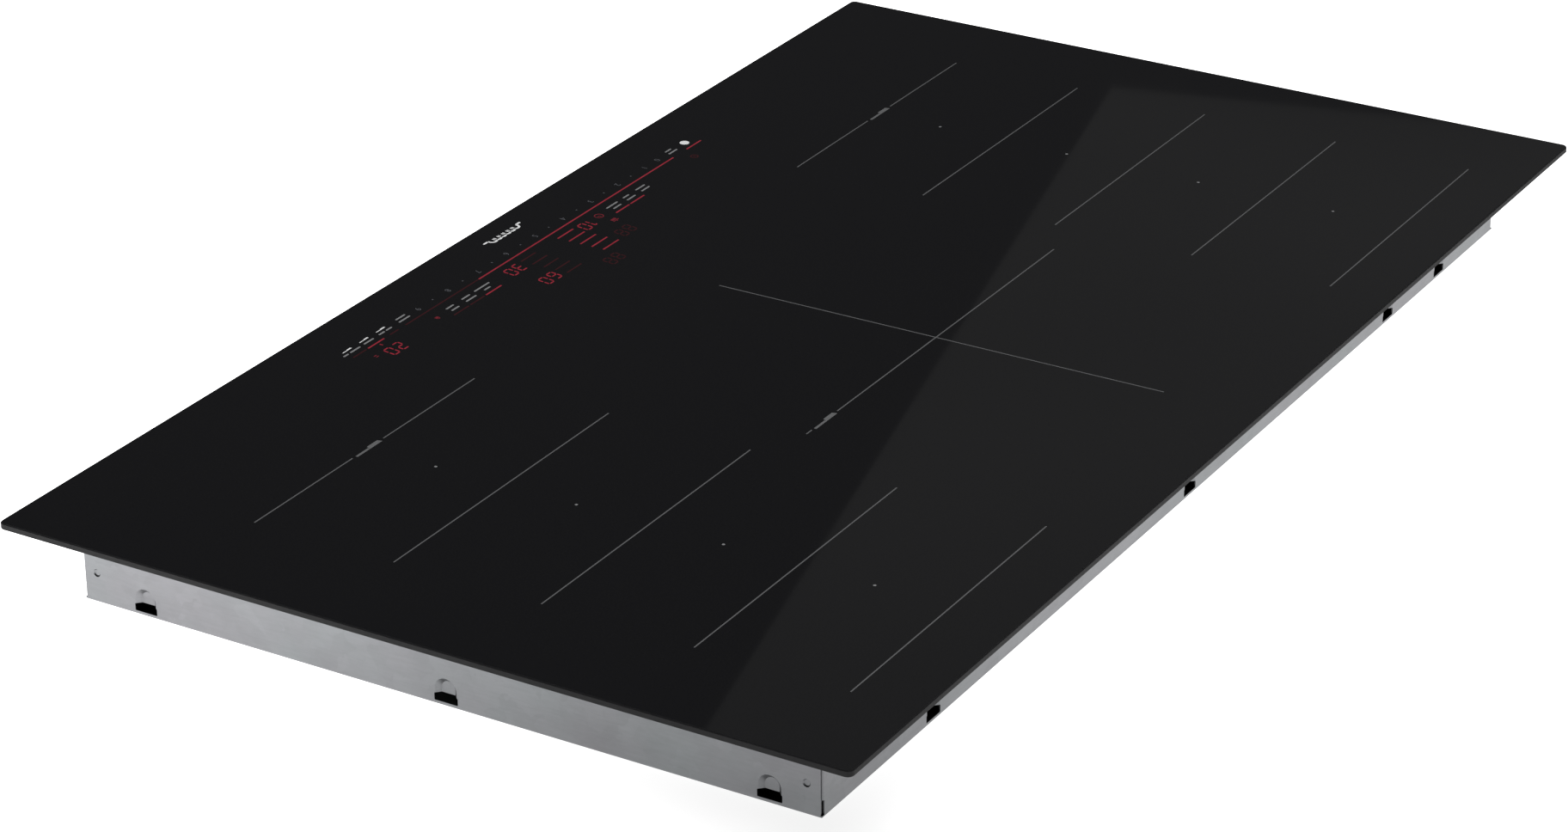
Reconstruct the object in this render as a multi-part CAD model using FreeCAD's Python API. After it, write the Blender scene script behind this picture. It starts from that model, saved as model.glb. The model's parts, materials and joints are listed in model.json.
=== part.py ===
import FreeCAD, Part
import math
import os

# Built-in electric induction cooktop: a black ceramic-glass plate over a folded sheet-steel casing.
# Millimetres. +X is the user's right, +Y the back, +Z up. The origin is the middle of the footprint, on the
# plane of the casing's underside. Everything below is worked out from the sizes in this first section.

V = FreeCAD.Vector

# Glass plate
GLASS_WIDTH = 939.8
GLASS_DEPTH = 539.75
GLASS_THICK = 4.0
GLASS_CORNER_R = 4.0
GLASS_BEVEL = 0.7
GLASS_ARRIS = 0.4
TOTAL_HEIGHT = 55.4
GLASS_UNDER = TOTAL_HEIGHT - GLASS_THICK

# Casing of folded sheet
SHEET = 1.0
CASING_HALF_X = 435.9
CASING_FRONT = -240.3
CASING_REAR = 233.7
ADHESIVE = 0.5
CASING_TOP = GLASS_UNDER - ADHESIVE
FOLD_R = 1.6
INNER_X = CASING_HALF_X - SHEET
INNER_FRONT = CASING_FRONT + SHEET
INNER_REAR = CASING_REAR - SHEET

# Corner joints of the casing: a tab folded from the front or rear wall, clinched behind the side wall
NOTCH_X, NOTCH_Z = 2.2, 1.7
TAB_LOW, TAB_HIGH, TAB_LENGTH = 10.5, 30.5, 17.0
CLINCH_IN, CLINCH_Z, CLINCH_R, CLINCH_DEPTH = 9.2, 18.7, 2.4, 0.7

# Clip pockets pressed into the walls, each open at its foot to a slot
SIDE_POCKETS = (-197.9, 2.4, 202.6)
REAR_POCKETS = (-348.0, -268.0, 13.3, 319.6)
SLOT_WIDTH, SLOT_LOW, SLOT_HIGH = 15.1, 2.5, 6.9
POCKET_R, POCKET_TOP, POCKET_DEPTH = 7.0, 17.0, 2.7

# Frame and seal round the glass
SEAL_INSET, SEAL_WIDTH, SEAL_THICK = 5.0, 10.0, 2.0
FRAME_GAP, FRAME_LEG, FRAME_FLANGE = 0.1, 11.0, 5.0
BRACKET_WIDTH, BRACKET_THICK, BRACKET_OFF_WALL, BRACKET_FOOT = 30.0, 1.2, 4.0, 22.0
SCREW_IN = 14.0
DIMPLE_R, DIMPLE_DEPTH, SCREW_R, SCREW_HEAD_R = 8.0, 2.2, 2.0, 4.0
BRACKET_SIDE_Y, BRACKET_REAR_X, BRACKET_FRONT_X = 110.0, 292.0, 295.0
SCREW_HEAD_HIGH, SCREW_TIP, CROSS_LENGTH, CROSS_WIDTH, CROSS_DEPTH = 1.5, 9.0, 4.4, 0.8, 0.8

# Air slots in the casing's floor, one field under each blower and one row along each side
INTAKE_PITCH, INTAKE_WIDTH, INTAKE_WEB, INTAKE_ROWS = 8.0, 4.0, 5.0, 5
EXHAUST_X, EXHAUST_LENGTH, EXHAUST_WIDTH, EXHAUST_PITCH, EXHAUST_ROWS = 412.0, 18.0, 5.0, 16.0, 5

# Cooking zones: four oval coils a side and one large round coil
OVAL_X = 292.5
OVAL_Y = (-101.3, -6.8, 89.0, 183.2)
OVAL_LENGTH, OVAL_WIDTH, OVAL_EYE = 208.0, 85.0, 20.0
GROOVE_WIDTH, GROOVE_DEPTH, GROOVE_PITCH, GROOVE_COUNT = 1.2, 0.6, 13.0, 4
ROUND_Y = 57.7
ROUND_OUTER = (92.0, 150.0)
ROUND_INNER = (28.0, 85.0)

# Heights of the sprung coil modules
PLATE_LOW, PLATE_THICK = 40.0, 1.5
FERRITE_LOW, COIL_LOW, COIL_HIGH = 41.5, 46.9, 50.2
INSULATION_LOW, INSULATION_HIGH = 50.4, 51.0
FERRITE_WIDTH = 12.0
SEAT_HIGH, SEAT_R, PIN_R, PIN_HIGH = 22.0, 9.0, 3.5, 35.0
SPRING_R, SPRING_WIRE, SPRING_TURNS, SPRING_STEPS, WIRE_SIDES = 5.5, 0.65, 5, 12, 8
SENSOR_R, SENSOR_NECK_R, SENSOR_FOOT, SENSOR_TIP = 5.0, 3.5, 1.5, 2.2
PLATE_CORNER_R, WINDOW_WIDTH = 12.0, 8.0
CENTRE_BARS, CENTRE_BAR_START = 12, 36.0
LEAD_R, LEAD_BEND, LEAD_Z = 1.2, 6.0, 35.4
SIDE_PLATE = (180.0, 405.0, -148.0, 226.5)
SIDE_SPRINGS = ((188.0, -138.0), (397.0, -138.0), (188.0, 216.0), (397.0, 216.0))
CENTRE_PLATE = (-158.0, 158.0, -98.0, 214.0)
CENTRE_SPRINGS = ((-148.0, -88.0), (148.0, -88.0), (-148.0, 204.0), (148.0, 204.0))

# Blowers
FAN_X, FAN_Y = 115.0, 20.0
FAN_LOW, FAN_HIGH, FAN_R, FAN_WALL = 1.0, 33.0, 58.0, 1.6
DUCT_LENGTH, INTAKE_R = 90.0, 42.0
IMPELLER_R, BLADE_LENGTH, BLADE_THICK, BLADE_COUNT, BLADE_TURN = 50.0, 11.0, 1.0, 28, 28.0
IMPELLER_LOW, IMPELLER_HIGH, IMPELLER_DISC, RIM_WIDTH, RIM_THICK = 4.0, 28.2, 1.2, 4.0, 1.4
CUP_R, CUP_LOW, CUP_WALL, SHAFT_R, SHAFT_GAP = 21.0, 12.0, 1.6, 2.0, 0.05
MOTOR_R, MOTOR_LOW, SHAFT_LOW = 18.4, 15.0, 10.0
RETAINER_R, RETAINER_LOW, RETAINER_HIGH = 3.6, 9.0, 11.8

# Electronics
BOARD_LOW, BOARD_THICK = 5.0, 1.6
BOARD_TOP = BOARD_LOW + BOARD_THICK
PEG_R, PEG_RISE, STANDOFF_R, CORNER_INSET = 1.5, 2.0, 4.0, 6.0
POWER_BOARD = (208.0, 400.0, -112.0, 112.0)
HEAT_SINK = (225.0, 385.0, 22.0, 76.0)
FIN_COUNT, FIN_THICK, FIN_LOW, FIN_HIGH = 9, 1.8, 12.6, 34.0
FILTER_BOARD = (-60.0, 60.0, 112.0, 198.0)
INLET_X, INLET_Y, INLET_R = 100.0, 204.0, 11.1
COLLAR_WALL, COLLAR_HIGH, COLLAR_FLANGE, COLLAR_FLANGE_HIGH = 2.9, 9.0, 7.0, 3.0
PACKAGE_X = (245.0, 285.0, 325.0, 365.0)
PACKAGE_HALF, PACKAGE_THICK, PACKAGE_LOW, PACKAGE_HIGH = 8.0, 5.0, 11.0, 31.0
PACKAGE_LEGS, LEG_WIDTH = (-5.4, 0.0, 5.4), 1.2
TALL_CASE_X, TALL_CASE_Y = (222.0, 262.0, 302.0, 342.0), (-98.0, -62.0)
TALL_CASE_WIDTH, TALL_CASE_HIGH = 32.0, 31.0
LONG_CASE_X, LONG_CASE_Y = (230.0, 300.0), (-50.0, -20.0)
LONG_CASE_WIDTH, LONG_CASE_HIGH = 52.0, 29.0
CASE_CORNER_R = 1.5
CHOKE_X, CHOKE_Y, CHOKE_RING_R, CHOKE_CORE_R = -30.0, 150.0, 13.0, 5.0
FILTER_CASES = ((-5.0, 27.0, 126.0, 144.0), (-5.0, 27.0, 150.0, 168.0))
RELAYS = ((-45.0, -26.0, 176.0, 191.0), (-18.0, 1.0, 176.0, 191.0))
FILTER_CASE_HIGH, RELAY_HIGH = 27.0, 22.0
TERMINAL = (74.0, 126.0, 150.0, 176.0)
TERMINAL_STEP, TERMINAL_HIGH, TERMINAL_PITCH, TERMINAL_WELL_R = 12.0, 20.0, 13.0, 2.6

# Touch-control module under the front edge of the glass
CONTROL = (-204.0, 204.0, -233.0, -163.0)
CONTROL_LOW, CONTROL_HIGH, CONTROL_WALL = 42.0, 51.0, 1.6
CONTROL_FLOOR, CONTROL_BOARD_THICK = CONTROL_LOW + CONTROL_WALL, 1.2
CONTROL_LEG_X, CONTROL_LEG_R = 190.0, 5.0
SLIDER_Y, SLIDER_X, SLIDER_WIDTH = -225.7, (-159.1, 143.8), 2.4
DIGITS = ((-38.0, -213.5), (42.5, -189.0), (42.5, -214.5), (174.0, -211.5))
DISPLAY_HALF_X, DISPLAY_HALF_Y, FIGURE_X, FIGURE_WIDTH, SEGMENT_WIDTH = 9.2, 8.0, 4.6, 6.0, 1.0
LEVEL_BARS_X, LEVEL_BARS_Y = (-19.4, 22.5), (-218.1, -209.6, -201.2, -192.8, -184.3)
LEVEL_BAR_LENGTH, LEVEL_BAR_WIDTH = 17.6, 2.0
RIBBON_HALF, RIBBON_THICK, RIBBON_BEND, RIBBON_LOW = 8.0, 0.8, 5.0, 3.0


# ---------------------------------------------------------------- shape helpers

def box(x0, x1, y0, y1, z0, z1):
    """Block between two corners, given in any order."""
    low = V(min(x0, x1), min(y0, y1), min(z0, z1))
    return Part.makeBox(abs(x1 - x0), abs(y1 - y0), abs(z1 - z0), low)


def cylinder(r, z0, z1, x=0.0, y=0.0):
    return Part.makeCylinder(r, z1 - z0, V(x, y, z0))


def cone(r0, r1, z0, z1, x=0.0, y=0.0):
    return Part.makeCone(r0, r1, z1 - z0, V(x, y, z0))


def upright_edges(shape):
    return [e for e in shape.Edges if e.BoundBox.XLength < 1e-6 and e.BoundBox.YLength < 1e-6]


def edges_at(shape, z):
    return [e for e in shape.Edges if abs(e.BoundBox.ZMin - z) < 1e-4 and abs(e.BoundBox.ZMax - z) < 1e-4]


def rounded_slab(x0, x1, y0, y1, z0, z1, r):
    slab = box(x0, x1, y0, y1, z0, z1)
    return slab.makeFillet(r, upright_edges(slab))


def racetrack(x, y, length, width, z0, z1):
    """Stadium-shaped block with its long axis along X."""
    r, half = width / 2, (length - width) / 2
    a, b = V(x - half, y - r, z0), V(x + half, y - r, z0)
    c, d = V(x + half, y + r, z0), V(x - half, y + r, z0)
    outline = [
        Part.LineSegment(a, b).toShape(),
        Part.Arc(b, V(x + half + r, y, z0), c).toShape(),
        Part.LineSegment(c, d).toShape(),
        Part.Arc(d, V(x - half - r, y, z0), a).toShape(),
    ]
    return Part.Face(Part.Wire(outline)).extrude(V(0, 0, z1 - z0))


def ring(half_x, y0, y1, width, z0, z1):
    """Rectangular frame: outer edge at +-half_x, y0 and y1, with bars this wide."""
    outer = box(-half_x, half_x, y0, y1, z0, z1)
    return outer.cut(box(width - half_x, half_x - width, y0 + width, y1 - width, z0, z1))


def wire_along(points, wire_r, bend_r):
    """Round wire along straight runs joined by tangent arcs."""
    edges, start = [], points[0]
    for before, corner, after in zip(points, points[1:], points[2:]):
        back, on = (before - corner).normalize(), (after - corner).normalize()
        half_angle = back.getAngle(on) / 2
        trim = bend_r / math.tan(half_angle)
        middle = corner + (back + on).normalize() * (bend_r / math.sin(half_angle) - bend_r)
        edges.append(Part.LineSegment(start, corner + back * trim).toShape())
        edges.append(Part.Arc(corner + back * trim, middle, corner + on * trim).toShape())
        start = corner + on * trim
    edges.append(Part.LineSegment(start, points[-1]).toShape())
    section = Part.Wire(Part.Circle(points[0], points[1] - points[0], wire_r).toShape())
    return Part.Wire(edges).makePipeShell([section], True, False)


def fused(shapes):
    first, rest = shapes[0], shapes[1:]
    return first.fuse(rest).removeSplitter() if rest else first


def group(shapes):
    return Part.makeCompound(shapes)


def flipped(shape):
    """The same shape on the other side of the YZ plane."""
    return shape.mirror(V(0, 0, 0), V(1, 0, 0))


def turned(shape, degrees, x=0.0, y=0.0):
    copy = shape.copy()
    copy.rotate(V(x, y, 0), V(0, 0, 1), degrees)
    return copy


def moved(shape, x, y, z=0.0):
    copy = shape.copy()
    copy.translate(V(x, y, z))
    return copy


def save(node, shape):
    shape.exportStep("parts/" + node + ".step")


# ---------------------------------------------------------------- wall features
# Each is made against a rear wall whose outer face is the plane y = 0, then turned to its own wall.

def on_walls(feature):
    """The feature at every clip pocket of the four walls."""
    placed = [moved(feature, x, CASING_REAR) for x in REAR_POCKETS]
    placed += [moved(turned(feature, 180), x, CASING_FRONT) for x in REAR_POCKETS]
    placed += [moved(turned(feature, -90), CASING_HALF_X, y) for y in SIDE_POCKETS]
    placed += [moved(turned(feature, 90), -CASING_HALF_X, y) for y in SIDE_POCKETS]
    return placed


def arch_wire(r, y):
    """Half-round arch outline standing on the slot's upper edge, in the plane y."""
    spring = POCKET_TOP - POCKET_R
    low_left, left = V(-r, y, SLOT_HIGH), V(-r, y, spring)
    right, low_right = V(r, y, spring), V(r, y, SLOT_HIGH)
    return Part.Wire([
        Part.LineSegment(low_left, left).toShape(),
        Part.Arc(left, V(0, y, spring + r), right).toShape(),
        Part.LineSegment(right, low_right).toShape(),
        Part.LineSegment(low_right, low_left).toShape(),
    ])


def arch_solid(r, depth):
    """Arch pressed in at 45 degrees to a flat floor at this depth."""
    return Part.makeLoft([arch_wire(r, 0), arch_wire(r - depth, -depth)], True, True)


def slot_cutter():
    reach = 2 * SHEET
    slot = box(-SLOT_WIDTH / 2, SLOT_WIDTH / 2, -reach, reach, SLOT_LOW, SLOT_HIGH)
    across = [e for e in slot.Edges if e.BoundBox.XLength < 1e-6 and e.BoundBox.ZLength < 1e-6]
    return slot.makeFillet(0.6, across)


def corner_notch(sx, sy, wall_y):
    return box(sx * (CASING_HALF_X - NOTCH_X), sx * (CASING_HALF_X + 1), wall_y - sy * SHEET, wall_y + sy,
               NOTCH_Z, CASING_TOP + 1)


def corner_tab(sx, sy, wall_y):
    face_x = sx * INNER_X
    across = box(face_x, sx * (INNER_X - 4), wall_y, wall_y - sy * SHEET, TAB_LOW, TAB_HIGH)
    along = box(face_x, sx * (INNER_X - SHEET), wall_y, wall_y - sy * TAB_LENGTH, TAB_LOW, TAB_HIGH)
    tab = fused([across, along])
    outer = [e for e in upright_edges(tab)
             if abs(e.BoundBox.XMin - face_x) < 1e-4 and abs(e.BoundBox.YMin - wall_y) < 1e-4]
    return tab.makeFillet(0.8, outer)


def clinch(sx, sy, wall_y, face_x):
    """Round clinch mark pressed inward from the plane face_x."""
    centre = V(sx * face_x, wall_y - sy * CLINCH_IN, CLINCH_Z)
    return Part.makeCone(CLINCH_R, CLINCH_R - CLINCH_DEPTH, CLINCH_DEPTH, centre, V(-sx, 0, 0))


# ---------------------------------------------------------------- casing and glass

def bracket_places():
    """Where each frame bracket stands on its wall: x, y of the wall's inner face, and the turn in degrees."""
    places = [(sx * BRACKET_REAR_X, INNER_REAR, 0) for sx in (-1, 1)]
    places += [(sx * BRACKET_FRONT_X, INNER_FRONT, 180) for sx in (-1, 1)]
    places += [(sx * INNER_X, sy * BRACKET_SIDE_Y, -90 * sx) for sx in (-1, 1) for sy in (-1, 1)]
    return places


def at_brackets(shape):
    return [moved(turned(shape, turn), x, y) for x, y, turn in bracket_places()]


def intake_slots(x, y):
    cutters = []
    for row in range(-INTAKE_ROWS, INTAKE_ROWS + 1):
        row_y = row * INTAKE_PITCH
        length = math.sqrt((INTAKE_R + 2) ** 2 - row_y ** 2) - INTAKE_WEB / 2
        for side in (-1, 1):
            slot_x = x + side * (INTAKE_WEB + length) / 2
            cutters.append(racetrack(slot_x, y + row_y, length, INTAKE_WIDTH, -SHEET, 2 * SHEET))
    return cutters


def exhaust_slots():
    return [racetrack(side * EXHAUST_X, row * EXHAUST_PITCH, EXHAUST_LENGTH, EXHAUST_WIDTH, -SHEET, 2 * SHEET)
            for side in (-1, 1) for row in range(-EXHAUST_ROWS, EXHAUST_ROWS + 1)]


def base_tray():
    outer = box(-CASING_HALF_X, CASING_HALF_X, CASING_FRONT, CASING_REAR, 0, CASING_TOP)
    outer = outer.makeFillet(FOLD_R, edges_at(outer, 0))
    inner = box(-INNER_X, INNER_X, INNER_FRONT, INNER_REAR, SHEET, CASING_TOP)
    inner = inner.makeFillet(FOLD_R - SHEET, edges_at(inner, SHEET))
    tray = outer.cut(inner)

    corners = [(sx, sy, CASING_REAR if sy > 0 else CASING_FRONT) for sx in (-1, 1) for sy in (-1, 1)]
    tray = tray.cut([corner_notch(*corner) for corner in corners])

    slope = SHEET * math.sqrt(2)
    dimple_r = DIMPLE_R - DIMPLE_DEPTH
    dimple = cone(DIMPLE_R + SHEET, dimple_r + SHEET / 2, 0, DIMPLE_DEPTH + SHEET, 0, -SCREW_IN)
    added = on_walls(arch_solid(POCKET_R + slope, POCKET_DEPTH + SHEET))
    added += [corner_tab(*corner) for corner in corners]
    added += [clinch(*corner, INNER_X - SHEET) for corner in corners]
    added += at_brackets(dimple)
    tray = tray.fuse(added)

    hollow = cone(DIMPLE_R, dimple_r, 0, DIMPLE_DEPTH, 0, -SCREW_IN)
    hollow = hollow.fuse(cylinder(SCREW_R + 0.2, DIMPLE_DEPTH, DIMPLE_DEPTH + 2 * SHEET, 0, -SCREW_IN))
    removed = on_walls(arch_solid(POCKET_R, POCKET_DEPTH)) + on_walls(slot_cutter())
    removed += [clinch(*corner, CASING_HALF_X) for corner in corners]
    removed += at_brackets(hollow)
    removed += intake_slots(FAN_X, FAN_Y) + intake_slots(-FAN_X, FAN_Y) + exhaust_slots()
    removed.append(cylinder(INLET_R + COLLAR_WALL + 0.1, -SHEET, 2 * SHEET, INLET_X, INLET_Y))
    return tray.cut(removed).removeSplitter()


def glass_top():
    half_x, half_y = GLASS_WIDTH / 2, GLASS_DEPTH / 2
    slab = rounded_slab(-half_x, half_x, -half_y, half_y, GLASS_UNDER, TOTAL_HEIGHT, GLASS_CORNER_R)
    slab = slab.makeChamfer(GLASS_BEVEL, edges_at(slab, TOTAL_HEIGHT))
    return slab.makeChamfer(GLASS_ARRIS, edges_at(slab, GLASS_UNDER))


def worktop_seal():
    half_x, half_y = GLASS_WIDTH / 2 - SEAL_INSET, GLASS_DEPTH / 2 - SEAL_INSET
    return ring(half_x, -half_y, half_y, SEAL_WIDTH, GLASS_UNDER - SEAL_THICK, GLASS_UNDER)


def glass_adhesive():
    return ring(INNER_X - FRAME_GAP, INNER_FRONT + FRAME_GAP, INNER_REAR - FRAME_GAP, FRAME_FLANGE,
                CASING_TOP, GLASS_UNDER)


def support_frame():
    edge = (INNER_X - FRAME_GAP, INNER_FRONT + FRAME_GAP, INNER_REAR - FRAME_GAP)
    flange = ring(*edge, FRAME_FLANGE, CASING_TOP - SHEET, CASING_TOP)
    leg = ring(*edge, SHEET, CASING_TOP - SHEET - FRAME_LEG, CASING_TOP - SHEET)
    return fused([flange, leg])


def frame_brackets():
    low, high = DIMPLE_DEPTH + SHEET, CASING_TOP - SHEET
    face = -BRACKET_OFF_WALL
    back = face - BRACKET_THICK
    half = BRACKET_WIDTH / 2
    post = box(-half, half, face, back, low, high)
    lip = box(-half, half, back, -FRAME_GAP - SHEET - 0.1, high - BRACKET_THICK, high)
    foot = box(-half, half, face, -BRACKET_FOOT, low, low + BRACKET_THICK)
    hole = cylinder(SCREW_R + SHAFT_GAP, low - 1, low + BRACKET_THICK + 1, 0, -SCREW_IN)
    return group(at_brackets(fused([post, lip, foot]).cut(hole)))


def base_screws():
    head_low = DIMPLE_DEPTH - SCREW_HEAD_HIGH
    shank = cylinder(SCREW_R, DIMPLE_DEPTH, SCREW_TIP, 0, -SCREW_IN)
    head = cone(SCREW_HEAD_R - 0.5, SCREW_HEAD_R, head_low, DIMPLE_DEPTH, 0, -SCREW_IN)
    arm, half = CROSS_LENGTH / 2, CROSS_WIDTH / 2
    cross = [box(-a, a, -SCREW_IN - b, -SCREW_IN + b, head_low, head_low + CROSS_DEPTH)
             for a, b in ((arm, half), (half, arm))]
    return group(at_brackets(fused([shank, head]).cut(cross)))


def inlet_bushing():
    collar = cylinder(INLET_R + COLLAR_WALL, 0, COLLAR_HIGH, INLET_X, INLET_Y)
    flange = cylinder(INLET_R + COLLAR_FLANGE, SHEET, COLLAR_FLANGE_HIGH, INLET_X, INLET_Y)
    return fused([collar, flange]).cut(cylinder(INLET_R, -1, COLLAR_HIGH + 1, INLET_X, INLET_Y))


# ---------------------------------------------------------------- coil modules

def oval_winding(y):
    body = racetrack(OVAL_X, y, OVAL_LENGTH, OVAL_WIDTH, COIL_LOW, COIL_HIGH)
    straight, groove_low = OVAL_LENGTH - OVAL_WIDTH, COIL_HIGH - GROOVE_DEPTH
    cutters = [racetrack(OVAL_X, y, straight + OVAL_EYE, OVAL_EYE, COIL_LOW, COIL_HIGH)]
    for i in range(1, GROOVE_COUNT + 1):
        outer = OVAL_EYE + i * GROOVE_PITCH + GROOVE_WIDTH
        inner = OVAL_EYE + i * GROOVE_PITCH
        groove = racetrack(OVAL_X, y, straight + outer, outer, groove_low, COIL_HIGH)
        cutters.append(groove.cut(racetrack(OVAL_X, y, straight + inner, inner, groove_low, COIL_HIGH)))
    return body.cut(cutters)


def round_winding(radii):
    def tube(inside, outside, low):
        outer = cylinder(outside, low, COIL_HIGH, 0, ROUND_Y)
        return outer.cut(cylinder(inside, low, COIL_HIGH, 0, ROUND_Y))

    inner_r, outer_r = radii
    pitch, groove_low = (outer_r - inner_r) / (GROOVE_COUNT + 1), COIL_HIGH - GROOVE_DEPTH
    middles = [inner_r + i * pitch for i in range(1, GROOVE_COUNT + 1)]
    grooves = [tube(r - GROOVE_WIDTH / 2, r + GROOVE_WIDTH / 2, groove_low) for r in middles]
    return tube(inner_r, outer_r, COIL_LOW).cut(grooves)


def side_ferrites():
    """Bars across each oval coil, cut to its outline."""
    bars = []
    for y in OVAL_Y:
        for step in range(-4, 4):
            x = (step + 0.5) * 2 * FERRITE_WIDTH
            over = max(0.0, abs(x) + FERRITE_WIDTH / 2 - (OVAL_LENGTH - OVAL_WIDTH) / 2)
            half = math.sqrt((OVAL_WIDTH / 2) ** 2 - over ** 2)
            bars.append(box(OVAL_X + x - FERRITE_WIDTH / 2, OVAL_X + x + FERRITE_WIDTH / 2,
                            y - half, y + half, FERRITE_LOW, COIL_LOW))
    return group(bars)


def centre_ferrites():
    bar = box(CENTRE_BAR_START, ROUND_OUTER[1] - 1, ROUND_Y - FERRITE_WIDTH / 2, ROUND_Y + FERRITE_WIDTH / 2,
              FERRITE_LOW, COIL_LOW)
    return group([turned(bar, i * 360 / CENTRE_BARS, 0, ROUND_Y) for i in range(CENTRE_BARS)])


def coil_sensors(places):
    sensors = []
    for x, y in places:
        post = cylinder(SENSOR_NECK_R, FERRITE_LOW, INSULATION_LOW - SENSOR_TIP / 2, x, y)
        foot = cylinder(SENSOR_R, FERRITE_LOW, FERRITE_LOW + SENSOR_FOOT, x, y)
        tip = cylinder(SENSOR_R, INSULATION_LOW - SENSOR_TIP, INSULATION_LOW, x, y)
        sensors.append(fused([post, foot, tip]))
    return group(sensors)


def coil_plate(extent, springs, lead_holes, windows):
    """Aluminium carrier with a locating hole over each spring seat, lead holes and weight-saving windows."""
    top = PLATE_LOW + PLATE_THICK
    plate = rounded_slab(*extent, PLATE_LOW, top, PLATE_CORNER_R)
    cutters = [cylinder(PIN_R + 0.5, PLATE_LOW, top, x, y) for x, y in springs]
    cutters += [cylinder(LEAD_R + 0.8, PLATE_LOW, top, x, y) for x, y in lead_holes]
    cutters += [racetrack(x, y, length, WINDOW_WIDTH, PLATE_LOW, top) for x, y, length in windows]
    return plate.cut(cutters)


def wire_section(angle):
    """Many-sided section of the spring's wire, this far round the helix."""
    radial, around = V(math.cos(angle), math.sin(angle), 0), V(-math.sin(angle), math.cos(angle), 0)
    low, high = SEAT_HIGH + SPRING_WIRE, PLATE_LOW - SPRING_WIRE
    climb = (high - low) / (2 * math.pi * SPRING_TURNS)
    centre = radial * SPRING_R + V(0, 0, low + climb * angle)
    across = (around * SPRING_R + V(0, 0, climb)).normalize().cross(radial)
    corners = []
    for k in range(WIRE_SIDES + 1):
        turn = 2 * math.pi * k / WIRE_SIDES
        corners.append(centre + (radial * math.cos(turn) + across * math.sin(turn)) * SPRING_WIRE)
    return Part.makePolygon(corners)


def springs(places):
    """Compression springs between the seats and the carrier plate."""
    steps = SPRING_TURNS * SPRING_STEPS
    sections = [wire_section(2 * math.pi * i / SPRING_STEPS) for i in range(steps + 1)]
    coil = Part.makeLoft(sections, True, True)
    return group([moved(coil, x, y) for x, y in places])


def spring_seats():
    places = list(SIDE_SPRINGS) + [(-x, y) for x, y in SIDE_SPRINGS] + list(CENTRE_SPRINGS)
    seats = []
    for x, y in places:
        body = cone(SEAT_R, SEAT_R - 1.5, SHEET, SEAT_HIGH, x, y)
        seats.append(fused([body, cylinder(PIN_R, SEAT_HIGH, PIN_HIGH, x, y)]))
    return group(seats)


def side_lead_ends():
    """For each lead of a side module: its terminal on the board and its place under the winding."""
    terminal_y = (-80.0, -30.0, 50.0, 100.0)
    return [((outer + 5.5, board_y), (outer, coil_y))
            for board_y, coil_y in zip(terminal_y, OVAL_Y) for outer in (386.0, 391.0)]


def centre_lead_ends():
    return [((214.0, y), (x, y)) for x, y in ((60.0, 70.0), (60.0, 76.0), (140.0, 84.0), (134.0, 90.0))]


def coil_leads(ends):
    leads = []
    for (x0, y0), (x1, y1) in ends:
        route = [V(x0, y0, BOARD_TOP), V(x0, y0, LEAD_Z), V(x1, y1, LEAD_Z), V(x1, y1, COIL_LOW)]
        leads.append(wire_along(route, LEAD_R, LEAD_BEND))
    return group(leads)


def insulation(extent):
    return rounded_slab(*extent, INSULATION_LOW, INSULATION_HIGH, PLATE_CORNER_R)


# ---------------------------------------------------------------- blowers, as made for the right-hand side

def fan_outline(r, duct_end, z0, z1):
    """Round chamber with a duct leaving it along +X on its rear side."""
    duct = box(FAN_X, FAN_X + duct_end, FAN_Y + FAN_R - r, FAN_Y + r, z0, z1)
    return fused([cylinder(r, z0, z1, FAN_X, FAN_Y), duct])


def fan_housing():
    inner_r = FAN_R - FAN_WALL
    shell = fan_outline(FAN_R, DUCT_LENGTH, FAN_LOW, FAN_HIGH)
    chamber = fan_outline(inner_r, DUCT_LENGTH + 1, FAN_LOW + FAN_WALL, FAN_HIGH - FAN_WALL)
    intake = cylinder(INTAKE_R, FAN_LOW, FAN_LOW + FAN_WALL, FAN_X, FAN_Y)
    return shell.cut([chamber, intake])


def fan_motor():
    """Stator under the housing's roof, with its shaft through the impeller's cup and a retainer below."""
    return fused([
        cylinder(MOTOR_R, MOTOR_LOW, FAN_HIGH - FAN_WALL, FAN_X, FAN_Y),
        cylinder(SHAFT_R, SHAFT_LOW, MOTOR_LOW, FAN_X, FAN_Y),
        cylinder(RETAINER_R, RETAINER_LOW, RETAINER_HIGH, FAN_X, FAN_Y),
    ])


def fan_tube(outer_r, inner_r, z0, z1):
    return cylinder(outer_r, z0, z1, FAN_X, FAN_Y).cut(cylinder(inner_r, z0, z1, FAN_X, FAN_Y))


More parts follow.
